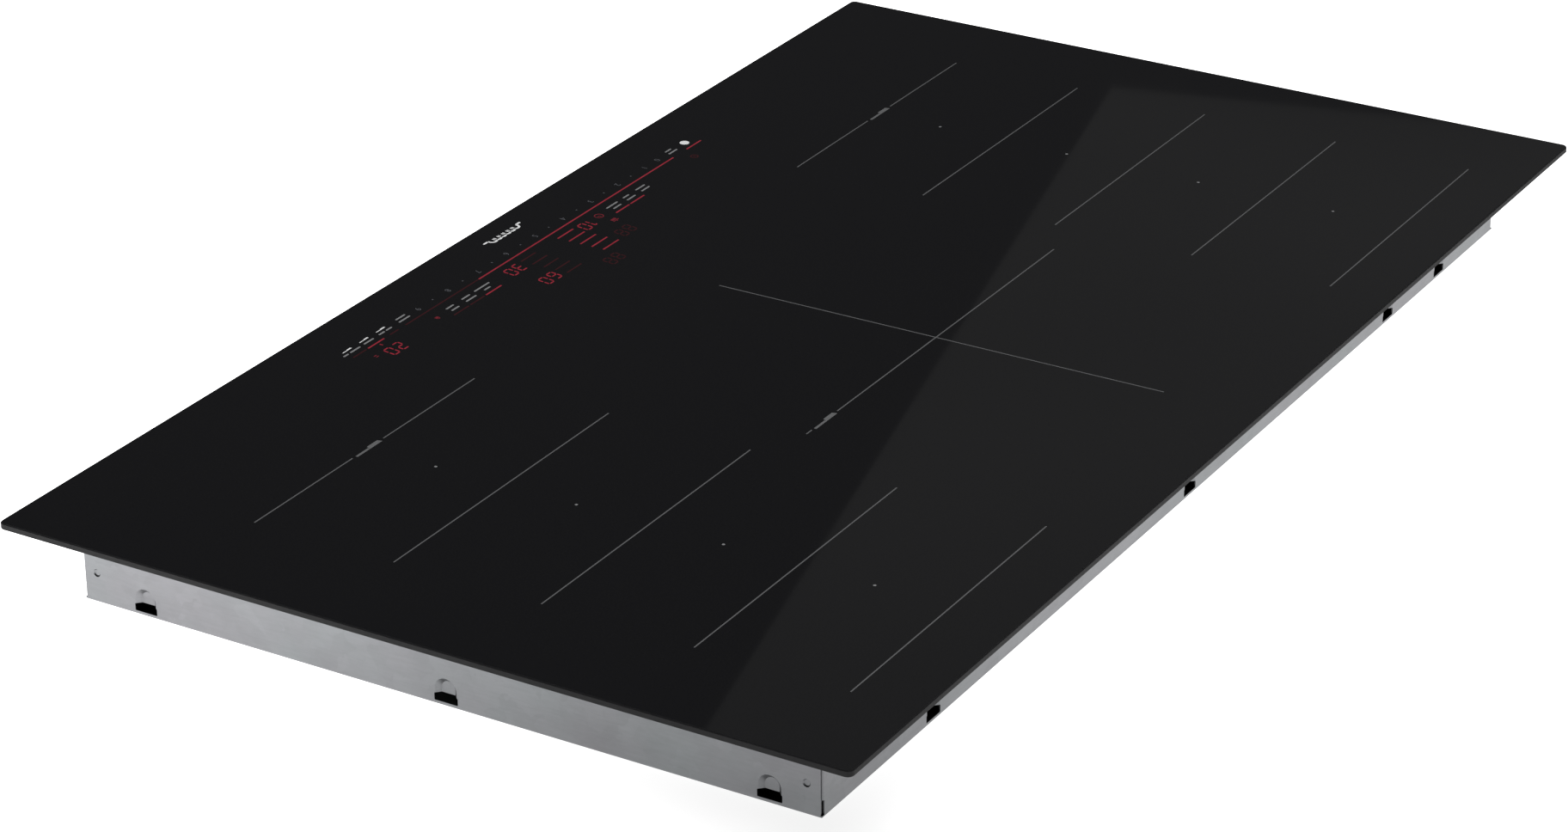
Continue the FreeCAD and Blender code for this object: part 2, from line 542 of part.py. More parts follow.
def fan_impeller():
    """Ring of slanted blades between a disc and a rim, turning on an inverted cup round the stator."""
    low, high = IMPELLER_LOW, IMPELLER_HIGH
    cup = cylinder(CUP_R, CUP_LOW, high, FAN_X, FAN_Y).cut([
        cylinder(CUP_R - CUP_WALL, CUP_LOW + RIM_THICK, high, FAN_X, FAN_Y),
        cylinder(SHAFT_R + SHAFT_GAP, CUP_LOW - 1, MOTOR_LOW - 1, FAN_X, FAN_Y),
    ])
    disc = fan_tube(IMPELLER_R, CUP_R - CUP_WALL / 2, high - IMPELLER_DISC, high)
    rim = fan_tube(IMPELLER_R, IMPELLER_R - RIM_WIDTH, low, low + RIM_THICK)
    inner_r, half = IMPELLER_R - BLADE_LENGTH, BLADE_THICK / 2
    blade = box(FAN_X + inner_r, FAN_X + IMPELLER_R - 0.8, FAN_Y - half, FAN_Y + half, low + 0.2, high - 0.2)
    blade = turned(blade, BLADE_TURN, FAN_X + inner_r + BLADE_LENGTH / 2, FAN_Y)
    blades = [turned(blade, i * 360 / BLADE_COUNT, FAN_X, FAN_Y) for i in range(BLADE_COUNT)]
    return fused([cup, disc, rim] + blades)


# ---------------------------------------------------------------- electronics, side boards as on the right

def board_corners(extent):
    x0, x1, y0, y1 = extent
    rows = (y0 + CORNER_INSET, y1 - CORNER_INSET)
    return [(x, y) for x in (x0 + CORNER_INSET, x1 - CORNER_INSET) for y in rows]


def circuit_board(extent):
    """Board with a hole over the peg of each standoff."""
    holes = [cylinder(PEG_R + 0.1, BOARD_LOW, BOARD_TOP, x, y) for x, y in board_corners(extent)]
    return box(*extent, BOARD_LOW, BOARD_TOP).cut(holes)


def board_standoffs():
    x0, x1, y0, y1 = POWER_BOARD
    places = board_corners(POWER_BOARD) + board_corners((-x1, -x0, y0, y1)) + board_corners(FILTER_BOARD)
    posts = []
    for x, y in places:
        peg = cylinder(PEG_R, BOARD_LOW, BOARD_TOP + PEG_RISE, x, y)
        posts.append(fused([cylinder(STANDOFF_R, SHEET, BOARD_LOW, x, y), peg]))
    return group(posts)


def heat_sink():
    x0, x1, y0, y1 = HEAT_SINK
    pitch = (y1 - y0 - FIN_THICK) / (FIN_COUNT - 1)
    fronts = [y0 + i * pitch for i in range(FIN_COUNT)]
    fins = [box(x0, x1, y, y + FIN_THICK, FIN_LOW, FIN_HIGH) for y in fronts]
    return fused([box(x0, x1, y0, y1, BOARD_TOP, FIN_LOW)] + fins)


def transistors():
    """Four power packages clamped to the heat sink's front side, on three legs each."""
    back, half = HEAT_SINK[2], LEG_WIDTH / 2
    packages = []
    for x in PACKAGE_X:
        body = box(x - PACKAGE_HALF, x + PACKAGE_HALF, back - PACKAGE_THICK, back, PACKAGE_LOW, PACKAGE_HIGH)
        legs = [box(x + k - half, x + k + half, back - 3.2, back - 2.4, BOARD_TOP, PACKAGE_LOW)
                for k in PACKAGE_LEGS]
        packages.append(fused([body] + legs))
    return group(packages)


def capacitors():
    """Resonant and bus film capacitors in rounded box cases."""
    cases = [rounded_slab(x, x + TALL_CASE_WIDTH, *TALL_CASE_Y, BOARD_TOP, TALL_CASE_HIGH, CASE_CORNER_R)
             for x in TALL_CASE_X]
    cases += [rounded_slab(x, x + LONG_CASE_WIDTH, *LONG_CASE_Y, BOARD_TOP, LONG_CASE_HIGH, CASE_CORNER_R)
              for x in LONG_CASE_X]
    return group(cases)


def filter_parts():
    """Common-mode choke, two suppression capacitors and two relays on the filter board."""
    choke = Part.makeTorus(CHOKE_RING_R, CHOKE_CORE_R, V(CHOKE_X, CHOKE_Y, BOARD_TOP + CHOKE_CORE_R))
    cases = [rounded_slab(*place, BOARD_TOP, FILTER_CASE_HIGH, CASE_CORNER_R) for place in FILTER_CASES]
    relays = [rounded_slab(*place, BOARD_TOP, RELAY_HIGH, CASE_CORNER_R) for place in RELAYS]
    return group([choke] + cases + relays)


def terminal_block():
    """Supply terminals: a stepped block with a screw well either side of the step, four times."""
    x0, x1, y0, y1 = TERMINAL
    block = fused([
        box(x0, x1, y0, y1, SHEET, TERMINAL_STEP),
        box(x0, x1, y0 + 8, y1 - 8, TERMINAL_STEP, TERMINAL_HIGH),
    ])
    wells = [(x0 + (i + 0.5) * TERMINAL_PITCH, y) for i in range(4) for y in (y0 + 4, y1 - 4)]
    return block.cut([cylinder(TERMINAL_WELL_R, TERMINAL_STEP - 5, TERMINAL_STEP, x, y) for x, y in wells])


def control_carrier():
    """Open tray on four legs, with a slot in its floor for the flat cable."""
    x0, x1, y0, y1 = CONTROL
    wall = CONTROL_WALL
    shell = rounded_slab(x0, x1, y0, y1, CONTROL_LOW, CONTROL_HIGH, 3.0)
    hollow = box(x0 + wall, x1 - wall, y0 + wall, y1 - wall, CONTROL_FLOOR, CONTROL_HIGH)
    cable_slot = box(-RIBBON_HALF - 3, RIBBON_HALF + 3, y1 - 8, y1 - 5, CONTROL_LOW, CONTROL_FLOOR)
    legs = [cylinder(CONTROL_LEG_R, SHEET, CONTROL_LOW, sx * CONTROL_LEG_X, y)
            for sx in (-1, 1) for y in (y0 + 11, y1 - 12)]
    return fused([shell.cut([hollow, cable_slot])] + legs)


def control_board():
    x0, x1, y0, y1 = CONTROL
    gap = CONTROL_WALL + 0.4
    return box(x0 + gap, x1 - gap, y0 + gap, y1 - 9, CONTROL_FLOOR, CONTROL_FLOOR + CONTROL_BOARD_THICK)


def figure_windows(x, y, z0, z1):
    """Cutters for the seven segments of one figure: three level ones, then two a side."""
    reach, half = FIGURE_WIDTH / 2, SEGMENT_WIDTH / 2
    windows = [box(x - reach + 0.8, x + reach - 0.8, y + k - half, y + k + half, z0, z1) for k in (-5, 0, 5)]
    windows += [box(side - half, side + half, y + k - 1.7, y + k + 1.7, z0, z1)
                for side in (x - reach, x + reach) for k in (-2.5, 2.5)]
    return windows


def digit_displays():
    """Two-digit display blocks with seven-segment windows sunk in their faces."""
    low, high = CONTROL_FLOOR + CONTROL_BOARD_THICK, CONTROL_HIGH - 0.1
    blocks = []
    for x, y in DIGITS:
        block = box(x - DISPLAY_HALF_X, x + DISPLAY_HALF_X, y - DISPLAY_HALF_Y, y + DISPLAY_HALF_Y, low, high)
        windows = [w for side in (-1, 1) for w in figure_windows(x + side * FIGURE_X, y, high - 1, high)]
        blocks.append(block.cut(windows))
    return group(blocks)


def light_guides():
    """Slider bar and level bars that carry light up to the glass."""
    low, high = CONTROL_FLOOR + CONTROL_BOARD_THICK, CONTROL_HIGH
    half = SLIDER_WIDTH / 2
    guides = [box(*SLIDER_X, SLIDER_Y - half, SLIDER_Y + half, low, high)]
    reach, half = LEVEL_BAR_LENGTH / 2, LEVEL_BAR_WIDTH / 2
    guides += [box(x - reach, x + reach, y - half, y + half, low, high)
               for x in LEVEL_BARS_X for y in LEVEL_BARS_Y]
    return group(guides)


def control_ribbon():
    """Flat cable from the control board down to the floor and back to the filter board."""
    y0, y1 = CONTROL[3] - 6.5, FILTER_BOARD[2] + 8
    high, low, bend = CONTROL_FLOOR, RIBBON_LOW, RIBBON_BEND
    k = bend * (1 - math.sqrt(0.5))
    down = Part.LineSegment(V(0, y0, high), V(0, y0, low + bend)).toShape()
    arc = Part.Arc(V(0, y0, low + bend), V(0, y0 + k, low + k), V(0, y0 + bend, low)).toShape()
    along = Part.LineSegment(V(0, y0 + bend, low), V(0, y1, low)).toShape()
    corners = [V(sx * RIBBON_HALF, y0 + sy * RIBBON_THICK / 2, high)
               for sx, sy in ((-1, -1), (1, -1), (1, 1), (-1, 1), (-1, -1))]
    return Part.Wire([down, arc, along]).makePipeShell([Part.makePolygon(corners)], True, False)


# ---------------------------------------------------------------- the whole cooktop

def side_module():
    """Nodes of the right-hand coil module, without the side's name."""
    ends = side_lead_ends()
    windows = [(OVAL_X, y, 150.0) for y in (-54.0, 41.0, 136.0)]
    nodes = {"coil_" + str(i + 1): oval_winding(y) for i, y in enumerate(OVAL_Y)}
    nodes["coil_carrier"] = coil_plate(SIDE_PLATE, SIDE_SPRINGS, [end for _, end in ends], windows)
    nodes["coil_ferrites"] = side_ferrites()
    nodes["coil_insulation"] = insulation((OVAL_X - 106, OVAL_X + 106, -146.0, 226.3))
    nodes["coil_sensors"] = coil_sensors([(OVAL_X, y) for y in OVAL_Y])
    nodes["coil_springs"] = springs(SIDE_SPRINGS)
    nodes["coil_leads"] = coil_leads(ends)
    return nodes


def side_electronics():
    return {
        "fan_housing": fan_housing(),
        "fan_motor": fan_motor(),
        "fan_impeller": fan_impeller(),
        "power_board": circuit_board(POWER_BOARD),
        "heat_sink": heat_sink(),
        "transistors": transistors(),
        "capacitors": capacitors(),
    }


def centre_module():
    ends = centre_lead_ends()
    windows = [(x, y, 40.0) for x in (-118.0, 118.0) for y in (-80.0, 196.0)]
    return {
        "centre_coil_outer": round_winding(ROUND_OUTER),
        "centre_coil_inner": round_winding(ROUND_INNER),
        "centre_coil_carrier": coil_plate(CENTRE_PLATE, CENTRE_SPRINGS, [end for _, end in ends], windows),
        "centre_coil_ferrites": centre_ferrites(),
        "centre_coil_insulation": insulation((-154.0, 154.0, ROUND_Y - 154, ROUND_Y + 154)),
        "centre_coil_sensors": coil_sensors([(0.0, ROUND_Y)]),
        "centre_coil_springs": springs(CENTRE_SPRINGS),
        "centre_coil_leads": coil_leads(ends),
    }


def fixed_parts():
    return {
        "glass_top": glass_top(),
        "worktop_seal": worktop_seal(),
        "glass_adhesive": glass_adhesive(),
        "support_frame": support_frame(),
        "frame_brackets": frame_brackets(),
        "base_tray": base_tray(),
        "base_screws": base_screws(),
        "inlet_bushing": inlet_bushing(),
        "spring_seats": spring_seats(),
        "board_standoffs": board_standoffs(),
        "filter_board": circuit_board(FILTER_BOARD),
        "filter_parts": filter_parts(),
        "terminal_block": terminal_block(),
        "control_carrier": control_carrier(),
        "control_board": control_board(),
        "digit_displays": digit_displays(),
        "light_guides": light_guides(),
        "control_ribbon": control_ribbon(),
    }


def main():
    os.makedirs("parts", exist_ok=True)
    nodes = fixed_parts()
    nodes.update(centre_module())
    for name, shape in {**side_module(), **side_electronics()}.items():
        nodes["right_" + name] = shape
        nodes["left_" + name] = flipped(shape)
    for name, shape in nodes.items():
        save(name, shape)
        print(name, "solids", len(shape.Solids), "valid", shape.isValid(), "volume", round(shape.Volume))


main()
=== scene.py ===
"""Looks of a built-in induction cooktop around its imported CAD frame.

Metres, +X is the user's right, +Y the back, +Z up. Places on the glass are named in millimetres from the
middle of its top face, and everything else comes from the frame.
"""
import json
import math

import bpy
from mathutils import Matrix, Vector


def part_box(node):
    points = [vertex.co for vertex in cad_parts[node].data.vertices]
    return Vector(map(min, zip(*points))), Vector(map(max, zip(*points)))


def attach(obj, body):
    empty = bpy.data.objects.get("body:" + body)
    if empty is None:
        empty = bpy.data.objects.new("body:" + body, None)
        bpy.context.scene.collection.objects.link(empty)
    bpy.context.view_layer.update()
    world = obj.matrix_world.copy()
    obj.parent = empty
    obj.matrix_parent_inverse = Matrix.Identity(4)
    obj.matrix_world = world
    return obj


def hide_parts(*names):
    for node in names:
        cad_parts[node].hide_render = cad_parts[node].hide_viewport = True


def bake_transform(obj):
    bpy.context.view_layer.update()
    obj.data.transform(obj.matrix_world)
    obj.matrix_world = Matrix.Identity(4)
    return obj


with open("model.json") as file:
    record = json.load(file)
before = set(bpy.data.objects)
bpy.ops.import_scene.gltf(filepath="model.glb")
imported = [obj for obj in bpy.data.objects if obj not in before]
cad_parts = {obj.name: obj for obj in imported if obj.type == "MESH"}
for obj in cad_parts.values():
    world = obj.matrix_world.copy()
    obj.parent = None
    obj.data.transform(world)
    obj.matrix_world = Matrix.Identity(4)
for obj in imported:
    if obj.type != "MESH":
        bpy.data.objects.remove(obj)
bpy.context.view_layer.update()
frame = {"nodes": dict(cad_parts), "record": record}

MM = 0.001
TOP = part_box("glass_top")[1].z
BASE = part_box("base_tray")[0].z

# Camera
CAMERA_AZIMUTH, CAMERA_ELEVATION, CAMERA_ROLL = 120.83, 25.72, -0.30
CAMERA_PLACE = Vector((2.1516, 1.2363, 1.1295 + TOP))
CAMERA_LENS = 104.15
SENSOR = 36.0

# Glow of the floor: where it is calmest, how bright there, and how bright away from it in front and behind
FLOOR_CALM, CALM_GLOW, FRONT_GLOW, REAR_GLOW = (0.60, 0.27, 0.0), 0.82, 1.95, 1.3
CALM_RADIUS, FULL_RADIUS, TURN_FRONT, TURN_REAR = 0.1, 0.46, -0.3, 0.3
FLOOR_HALF, FLOOR_DROP = 14.0, 0.5 * MM

# Overhead lamp, in metres; the faint card above the glass, and three corners of its image on the glass, in mm
LAMP_PLACE, LAMP_SIDE, LAMP_POWER = (0.3, 0.2, 3.2), 4.0, 125.0
CARD_HEIGHT, CARD_GLOW = 1.6, 0.11
CARD_CORNER, CARD_ALONG, CARD_ACROSS = (-412.6, -35.0), (470.0, 185.6), (-465.0, 167.0)
CARD_LENGTH, CARD_DEPTH = 1.6, 3.2

# Thin print and lit marks on the glass
PRINT_SINK, PRINT_RISE = 0.01, 0.03
ZONE_X, ZONE_LENGTH, ZONE_LINE = 292.5, 214.0, 0.85
ZONE_Y = (-147.6, -54.5, 40.6, 135.6, 229.3)
CROSS_Y, CROSS_REACH, CROSS_SIGN_X = 57.7, 151.0, 131.5
SIGN_WIDTH, SIDE_SIGN_GAP, CROSS_SIGN_GAP, DOT_R = 24.0, 15.0, 14.5, 0.9
EMBLEM_Y, EMBLEM_R, EMBLEM_PITCH, EMBLEM_TURNS, EMBLEM_LINE, EMBLEM_LEAD = -252.0, 3.0, 5.0, 6, 1.5, 5.0
SLIDER_Y, NUMERAL_Y, NUMERAL_HEIGHT, LIT_LINE = -225.7, -232.8, 4.3, 1.15
SLIDER_START, SLIDER_LEVEL, SLIDER_GAP, SLIDER_END = -159.1, 65.9, 0.7, 143.8


# ---------------------------------------------------------------- materials

class Recipe:
    """A node material under construction, ending in one Principled shader."""

    def __init__(self, name):
        self.material = bpy.data.materials.new(name)
        self.material.use_nodes = True
        self.tree = self.material.node_tree
        self.shader = self.tree.nodes["Principled BSDF"]
        self.place = self.add("TexCoord").outputs["Object"]

    def add(self, kind, inputs=None, **settings):
        node = self.tree.nodes.new("ShaderNode" + kind)
        for key, value in settings.items():
            setattr(node, key, value)
        for key, value in (inputs or {}).items():
            self.feed(node.inputs[key], value)
        return node

    def feed(self, socket, value):
        if isinstance(value, bpy.types.NodeSocket):
            self.tree.links.new(value, socket)
        else:
            socket.default_value = value

    def set(self, **values):
        """Shader sockets by name, with underscores for spaces."""
        for key, value in values.items():
            self.feed(self.shader.inputs[key.replace("_", " ")], value)

    def stretched(self, scale):
        return self.add("Mapping", {"Vector": self.place, "Scale": scale}).outputs["Vector"]

    def noise(self, scale, detail=3.0, roughness=0.55, place=None):
        inputs = {"Vector": place or self.place, "Scale": scale, "Detail": detail, "Roughness": roughness}
        return self.add("TexNoise", inputs).outputs["Fac"]

    def cells(self, scale, output="Color", place=None):
        return self.add("TexVoronoi", {"Vector": place or self.place, "Scale": scale}).outputs[output]

    def ramp(self, fac, stops):
        """Colours or greys at places along fac."""
        node = self.add("ValToRGB", {"Fac": fac})
        elements = node.color_ramp.elements
        while len(elements) < len(stops):
            elements.new(0.5)
        for element, (at, value) in zip(elements, stops):
            element.position = at
            element.color = (*value, 1.0) if isinstance(value, tuple) else (value, value, value, 1.0)
        return node.outputs["Color"]

    def spread(self, fac, low, high):
        """fac mapped to run from low to high."""
        return self.add("MapRange", {"Value": fac, "To Min": low, "To Max": high}).outputs["Result"]

    def mix(self, fac, a, b, blend="MIX"):
        node = self.add("Mix", data_type="RGBA", blend_type=blend)
        for socket, value in ((node.inputs[0], fac), (node.inputs[6], a), (node.inputs[7], b)):
            self.feed(socket, value)
        return node.outputs[2]

    def grey(self, color):
        return self.add("RGBToBW", {"Color": color}).outputs["Val"]

    def bump(self, height, strength, distance):
        inputs = {"Height": height, "Strength": strength, "Distance": distance}
        self.set(Normal=self.add("Bump", inputs).outputs["Normal"])


def shades(color, spread):
    """The colour a little darker and a little lighter."""
    return tuple(c * (1 - spread) for c in color), tuple(min(1.0, c * (1 + spread)) for c in color)


def black_glass():
    """Black ceramic glass: a faint speckle under a slightly uneven polished face, and ground edges."""
    r = Recipe("black_glass")
    speckle = r.noise(900.0, 2.0, 0.6)
    normal = r.add("NewGeometry").outputs["Normal"]
    upward = r.add("SeparateXYZ", {"Vector": normal}).outputs["Z"]
    ground = r.ramp(upward, ((0.85, 1.0), (0.95, 0.0)))
    polished = r.spread(r.noise(14.0, 4.0), 0.018, 0.035)
    r.set(Base_Color=r.ramp(speckle, ((0.35, (0.0042, 0.0042, 0.0048)), (0.75, (0.0062, 0.0062, 0.0070)))),
          Roughness=r.mix(ground, polished, r.spread(r.noise(260.0), 0.72, 0.84)), IOR=1.52)
    r.bump(r.noise(6.0, 1.0), 0.02, 0.0004)
    return r.material


def galvanised(name, base=(0.238, 0.241, 0.247), rough=(0.36, 0.46)):
    """Zinc-coated sheet: faint spangle crystals, cloudy bluish and pinkish stains and fine rolling lines."""
    r = Recipe(name)
    wobble = r.add("TexNoise", {"Vector": r.place, "Scale": 90.0, "Detail": 3.0}).outputs["Color"]
    bent = r.add("Mix", {0: 0.012}, data_type="RGBA", blend_type="ADD")
    r.feed(bent.inputs[6], r.place)
    r.feed(bent.inputs[7], wobble)
    crystal = r.grey(r.cells(110.0, place=bent.outputs[2]))
    cloud = r.noise(16.0, 6.0, 0.65)
    tint = r.noise(9.0, 3.0, 0.6)
    rolled = r.noise(70.0, 4.0, 0.6, r.stretched((1.0, 1.0, 9.0)))
    dark, light = shades(base, 0.035)
    tone = r.ramp(crystal, ((0.1, dark), (0.9, light)))
    toned = r.mix(1.0, tone, r.ramp(cloud, ((0.3, 0.90), (0.7, 1.06))), "MULTIPLY")
    stains = r.ramp(tint, ((0.35, (0.965, 1.0, 1.0)), (0.65, (1.0, 0.975, 1.0))))
    stained = r.mix(1.0, toned, stains, "MULTIPLY")
    r.set(Base_Color=r.mix(0.5, stained, r.ramp(rolled, ((0.3, 0.90), (0.7, 1.04))), "MULTIPLY"),
          Metallic=1.0, Roughness=r.spread(cloud, *rough))
    r.bump(r.noise(1400.0, 2.0), 0.06, 0.0001)
    return r.material


def plastic(name, color, rough=(0.42, 0.6), grain=2200.0, depth=0.12, coat=0.0):
    """Moulded plastic: fine spark-eroded grain, slight flow marks and handling sheen."""
    r = Recipe(name)
    flow = r.noise(18.0, 4.0, 0.6)
    dark, light = shades(color, 0.12)
    r.set(Base_Color=r.ramp(flow, ((0.3, dark), (0.7, light))),
          Roughness=r.spread(r.noise(60.0, 4.0), *rough), Coat_Weight=coat)
    r.bump(r.noise(grain, 2.0, 0.7), depth, 0.0002)
    return r.material


def foam():
    r = Recipe("closed_cell_foam")
    pores = r.cells(900.0, output="Distance")
    r.set(Base_Color=r.ramp(pores, ((0.0, (0.008, 0.008, 0.009)), (0.5, (0.035, 0.035, 0.037)))),
          Roughness=r.spread(r.noise(80.0), 0.85, 0.98))
    r.bump(pores, 0.5, 0.0006)
    return r.material


def rubbery(name, color, rough=(0.5, 0.7)):
    r = Recipe(name)
    dark, light = shades(color, 0.15)
    r.set(Base_Color=r.ramp(r.noise(35.0, 4.0), ((0.3, dark), (0.7, light))),
          Roughness=r.spread(r.noise(90.0, 3.0), *rough), Sheen_Weight=0.1)
    r.bump(r.noise(500.0, 3.0), 0.15, 0.0003)
    return r.material


def metal(name, color, rough, lines=(1.0, 1.0, 1.0), depth=0.05):
    """Plain metal with a drawn or rolled grain along the axis that lines stretches least."""
    r = Recipe(name)
    grain = r.noise(300.0, 3.0, 0.6, r.stretched(lines))
    cloud = r.noise(12.0, 4.0)
    dark, light = shades(color, 0.1)
    r.set(Base_Color=r.mix(0.3, r.ramp(cloud, ((0.3, dark), (0.7, light))),
                           r.ramp(grain, ((0.3, 0.8), (0.7, 1.0))), "MULTIPLY"),
          Metallic=1.0, Roughness=r.spread(grain, *rough))
    r.bump(grain, depth, 0.0002)
    return r.material


def circuit_board():
    """Green solder mask over copper tracks, with bare vias."""
    r = Recipe("circuit_board")
    tracks = r.add("TexBrick", {"Vector": r.place, "Scale": 110.0, "Mortar Size": 0.06, "Mortar Smooth": 0.2})
    tracks.offset = 0.37
    bare = r.cells(160.0, output="Distance")
    mask = r.mix(tracks.outputs["Fac"], (0.006, 0.085, 0.035, 1.0), (0.02, 0.16, 0.06, 1.0))
    r.set(Base_Color=r.mix(r.ramp(bare, ((0.10, 1.0), (0.13, 0.0))), mask, (0.55, 0.5, 0.4, 1.0)),
          Roughness=r.spread(r.noise(70.0), 0.25, 0.4), Coat_Weight=0.3)
    r.bump(tracks.outputs["Fac"], 0.15, 0.0002)
    return r.material


def copper_winding():
    """Stranded, lacquered copper: twist lines across the grooves, with painted shade between the strands."""
    r = Recipe("copper_winding")
    strands = r.add("TexWave", {"Vector": r.place, "Scale": 230.0, "Distortion": 3.0, "Detail": 2.0},
                    bands_direction="DIAGONAL").outputs["Fac"]
    # The dark end of this ramp is painted shade in the grooves between the strands.
    r.set(Base_Color=r.ramp(strands, ((0.1, (0.25, 0.09, 0.035)), (0.7, (0.72, 0.30, 0.13)))),
          Metallic=0.9, Roughness=r.spread(r.noise(120.0), 0.3, 0.45))
    r.bump(strands, 0.6, 0.0004)
    return r.material


def ferrite():
    r = Recipe("ferrite")
    pits = r.noise(420.0, 4.0, 0.7)
    r.set(Base_Color=r.ramp(pits, ((0.3, (0.018, 0.018, 0.02)), (0.7, (0.05, 0.05, 0.055)))),
          Roughness=r.spread(pits, 0.5, 0.75))
    r.bump(pits, 0.3, 0.0003)
    return r.material


def mica():
    """Pressed mica board: pearly flakes in a pale binder."""
    r = Recipe("mica")
    flakes = r.grey(r.cells(420.0))
    r.set(Base_Color=r.ramp(flakes, ((0.0, (0.42, 0.38, 0.30)), (1.0, (0.66, 0.62, 0.53)))),
          Roughness=r.spread(flakes, 0.3, 0.6), Sheen_Weight=0.2)
    r.bump(flakes, 0.2, 0.0002)
    return r.material


def enamel(name, color):
    """Fired ceramic print, a little grainy."""
    r = Recipe(name)
    dark, light = shades(color, 0.12)
    r.set(Base_Color=r.ramp(r.noise(1600.0, 2.0), ((0.3, dark), (0.7, light))),
          Roughness=r.spread(r.noise(300.0), 0.3, 0.5))
    return r.material


def lamp(name, color, strength):
    """Light from a lamp under the glass: a tinted face that glows a little unevenly along its length."""
    r = Recipe(name)
    glow = r.noise(160.0, 2.0)
    dark, light = shades(color, 0.15)
    r.set(Base_Color=r.ramp(glow, ((0.3, dark), (0.7, light))), Roughness=0.25,
          Emission_Color=r.ramp(glow, ((0.3, dark), (0.7, light))), Emission_Strength=strength)
    return r.material


def build_materials():
    steel = (0.45, 0.455, 0.46)
    return {
        "black_glass": black_glass(),
        "foam_seal": foam(),
        "silicone": rubbery("silicone", (0.02, 0.02, 0.021), (0.35, 0.5)),
        "galvanised_sheet": galvanised("galvanised_sheet"),
        "zinc_screw": metal("zinc_screw", (0.52, 0.52, 0.49), (0.25, 0.4)),
        "steel_bushing": metal("steel_bushing", steel, (0.3, 0.45)),
        "post_plastic": plastic("post_plastic", (0.58, 0.55, 0.46)),
        "green_board": circuit_board(),
        "component_plastic": plastic("component_plastic", (0.02, 0.02, 0.022), (0.5, 0.65)),
        "capacitor_plastic": plastic("capacitor_plastic", (0.28, 0.29, 0.31), (0.2, 0.32), coat=0.3),
        "terminal_plastic": plastic("terminal_plastic", (0.56, 0.56, 0.5)),
        "carrier_plastic": plastic("carrier_plastic", (0.045, 0.045, 0.048)),
        "display_plastic": plastic("display_plastic", (0.03, 0.012, 0.013), (0.15, 0.25), coat=0.4),
        "light_guide": plastic("light_guide", (0.45, 0.12, 0.12), (0.1, 0.2), coat=0.5),
        "cable_sheath": plastic("cable_sheath", (0.42, 0.43, 0.45), (0.35, 0.5)),
        "carrier_aluminium": metal("carrier_aluminium", (0.72, 0.73, 0.75), (0.28, 0.42), (1.0, 16.0, 1.0)),
        "ferrite": ferrite(),
        "mica": mica(),
        "sensor_ceramic": plastic("sensor_ceramic", (0.7, 0.68, 0.62), (0.3, 0.45), 900.0),
        "spring_steel": metal("spring_steel", (0.5, 0.5, 0.52), (0.2, 0.3)),
        "lead_sheath": rubbery("lead_sheath", (0.55, 0.53, 0.48)),
        "copper_winding": copper_winding(),
        "fan_plastic": plastic("fan_plastic", (0.018, 0.018, 0.02), (0.35, 0.5)),
        "motor_steel": metal("motor_steel", (0.4, 0.4, 0.42), (0.3, 0.45), (1.0, 1.0, 12.0)),
        "sink_aluminium": metal("sink_aluminium", (0.66, 0.67, 0.69), (0.3, 0.45), (1.0, 16.0, 1.0)),
        "zone_print": enamel("zone_print", (0.122, 0.123, 0.126)),
        "sign_print": enamel("sign_print", (0.135, 0.137, 0.140)),
        "label_print": enamel("label_print", (0.24, 0.243, 0.246)),
        "white_print": enamel("white_print", (0.86, 0.87, 0.87)),
        "faint_print": enamel("faint_print", (0.092, 0.094, 0.104)),
        "lit_red": lamp("lit_red", (0.150, 0.011, 0.019), 1.0),
        "soft_red": lamp("soft_red", (0.085, 0.008, 0.013), 1.0),
        "dim_red": lamp("dim_red", (0.018, 0.003, 0.004), 1.0),
    }


def dress_cad_nodes(materials):
    """Gives every CAD node the material of the slot that the record states for it."""
    for part in frame["record"]["subparts"]:
        mesh = frame["nodes"][part["node"]].data
        mesh.materials.clear()
        mesh.materials.append(materials[part["material_slot"]])


# ---------------------------------------------------------------- flat marks, drawn in mm on the glass

def bar(x0, x1, y, width, rounded=False):
    """Horizontal bar; rounded bars end in half circles."""
    half = width / 2
    if not rounded:
        return [(x0, y - half), (x1, y - half), (x1, y + half), (x0, y + half)]
    steps = 6
    right = [(x1 - half + half * math.cos(a), y + half * math.sin(a)) for a in turns(-90, 90, steps)]
    left = [(x0 + half + half * math.cos(a), y + half * math.sin(a)) for a in turns(90, 270, steps)]
    return right + left


def turns(first, last, steps):
    """Angles in radians from first to last, both given in degrees."""
    return [math.radians(first + (last - first) * i / steps) for i in range(steps + 1)]


def upright(x, y0, y1, width):
    return [(x - width / 2, y0), (x + width / 2, y0), (x + width / 2, y1), (x - width / 2, y1)]


def disc(x, y, r, steps=28):
    return [(x + r * math.cos(a), y + r * math.sin(a)) for a in turns(0, 360, steps)[:-1]]


def arc(x, y, r, width, first=0.0, last=360.0, steps=28):
    """Stroke along a circle; a full ring comes as two halves."""
    if last - first >= 360.0:
        middle = (first + last) / 2
        return arc(x, y, r, width, first, middle, steps // 2) + arc(x, y, r, width, middle, last, steps // 2)
    wide, narrow = r + width / 2, r - width / 2
    outer = [(x + wide * math.cos(a), y + wide * math.sin(a)) for a in turns(first, last, steps)]
    inner = [(x + narrow * math.cos(a), y + narrow * math.sin(a)) for a in turns(last, first, steps)]
    return [outer + inner]


